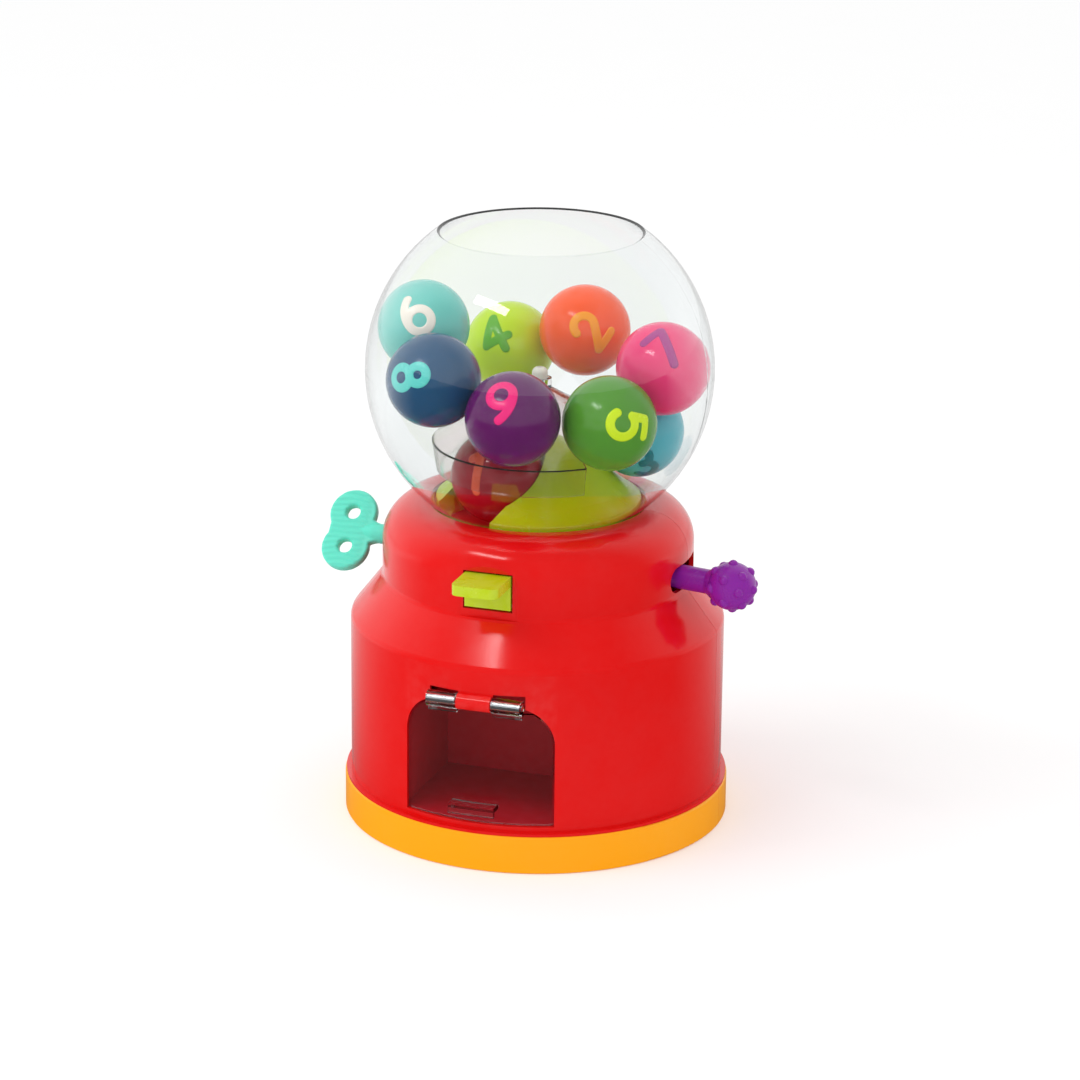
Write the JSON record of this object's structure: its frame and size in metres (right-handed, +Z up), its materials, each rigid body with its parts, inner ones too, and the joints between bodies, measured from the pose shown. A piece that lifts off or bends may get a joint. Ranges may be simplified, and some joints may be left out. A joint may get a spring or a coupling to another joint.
{
  "type": "toy gumball machine",
  "caption": "Toy gumball machine: clear globe of numbered balls over a red casing with a wind-up key, a swing lever, a press lever and a clear flap door.",
  "frame": {"origin": "centre of the base plate's underside, on the surface the toy stands on", "axes": "+Z up along the globe's axis, -Y out of the front where the door and press lever are, +X towards the swing lever"},
  "size_m": [0.2359, 0.2013, 0.3045],
  "materials": {
    "red_shell": "glossy moulded",
    "crimson_inner": "satin moulded",
    "amber_base": "glossy moulded",
    "clear_globe": "clear styrene",
    "clear_guard": "clear moulded",
    "clear_door": "clear moulded",
    "lime_plastic": "glossy moulded",
    "mint_plastic": "satin moulded",
    "purple_plastic": "satin moulded",
    "natural_acetal": "matt moulded",
    "steel": "plain",
    "zinc_screw": "zinc plated",
    "ball_red": "glossy",
    "ball_orange": "glossy",
    "ball_aqua": "glossy",
    "ball_lime": "glossy",
    "ball_green": "glossy",
    "ball_teal": "glossy",
    "ball_pink": "glossy",
    "ball_navy": "glossy",
    "ball_purple": "glossy"
  },
  "bodies": {
    "machine": {"casing_front": "red_shell", "casing_rear": "red_shell", "base_plate": "crimson_inner", "deck": "crimson_inner", "ball_chute": "crimson_inner", "dispenser_tray": "crimson_inner", "key_bracket": "crimson_inner", "key_bush": "crimson_inner", "base_ring_front": "amber_base", "base_ring_rear": "amber_base", "globe": "clear_globe", "ball_guard": "clear_guard", "click_pawl": "natural_acetal", "centre_post": "steel", "post_nut": "steel", "lever_post": "steel", "post_clip": "steel", "lever_pin": "steel", "press_spring": "steel", "door_pin": "steel", "base_screws": "zinc_screw", "casing_screws": "zinc_screw", "deck_screws": "zinc_screw", "bracket_screws": "zinc_screw", "tray_screws": "zinc_screw", "ball_2": "ball_orange", "ball_3": "ball_aqua", "ball_4": "ball_lime", "ball_5": "ball_green", "ball_6": "ball_teal", "ball_7": "ball_pink", "ball_8": "ball_navy", "ball_9": "ball_purple"},
    "carousel_rotor": {"carousel": "lime_plastic", "ball_1": "ball_red"},
    "key_set": {"wind_key": "mint_plastic", "key_shaft": "steel", "crown_pinion": "natural_acetal", "click_wheel": "natural_acetal", "shaft_clip": "steel"},
    "swing_lever": {"side_lever": "purple_plastic", "drop_shutter": "natural_acetal"},
    "press_lever": {"front_lever": "lime_plastic"},
    "flap_door": {"dispenser_door": "clear_door"}
  },
  "joints": [
    {"name": "carousel_turn", "type": "hinge", "parent": "machine", "child": "carousel_rotor", "pos_m": [0, 0, 0.1585], "axis": [0, 0, 1], "range_deg": [-147, 93]},
    {"name": "key_turn", "type": "hinge", "parent": "machine", "child": "key_set", "pos_m": [-0.0795, 0, 0.1365], "axis": [1, 0, 0], "range_deg": [-441, 279]},
    {"name": "lever_swing", "type": "hinge", "parent": "machine", "child": "swing_lever", "pos_m": [0.04, 0, 0.1345], "axis": [0, 0, 1], "range_deg": [-8, 29.6]},
    {"name": "lever_press", "type": "hinge", "parent": "machine", "child": "press_lever", "pos_m": [0, -0.0745, 0.133], "axis": [1, 0, 0], "range_deg": [0, 12], "stiffness_Nm_per_rad": 0.25, "springref_deg": -8.59, "deforming": ["press_spring"]},
    {"name": "door_swing", "type": "hinge", "parent": "machine", "child": "flap_door", "pos_m": [0, -0.0965, 0.088], "axis": [-1, 0, 0], "range_deg": [0, 90]}
  ],
  "couplings": [
    {"joint": "key_turn", "follows": "carousel_turn", "ratio": 3}
  ]
}
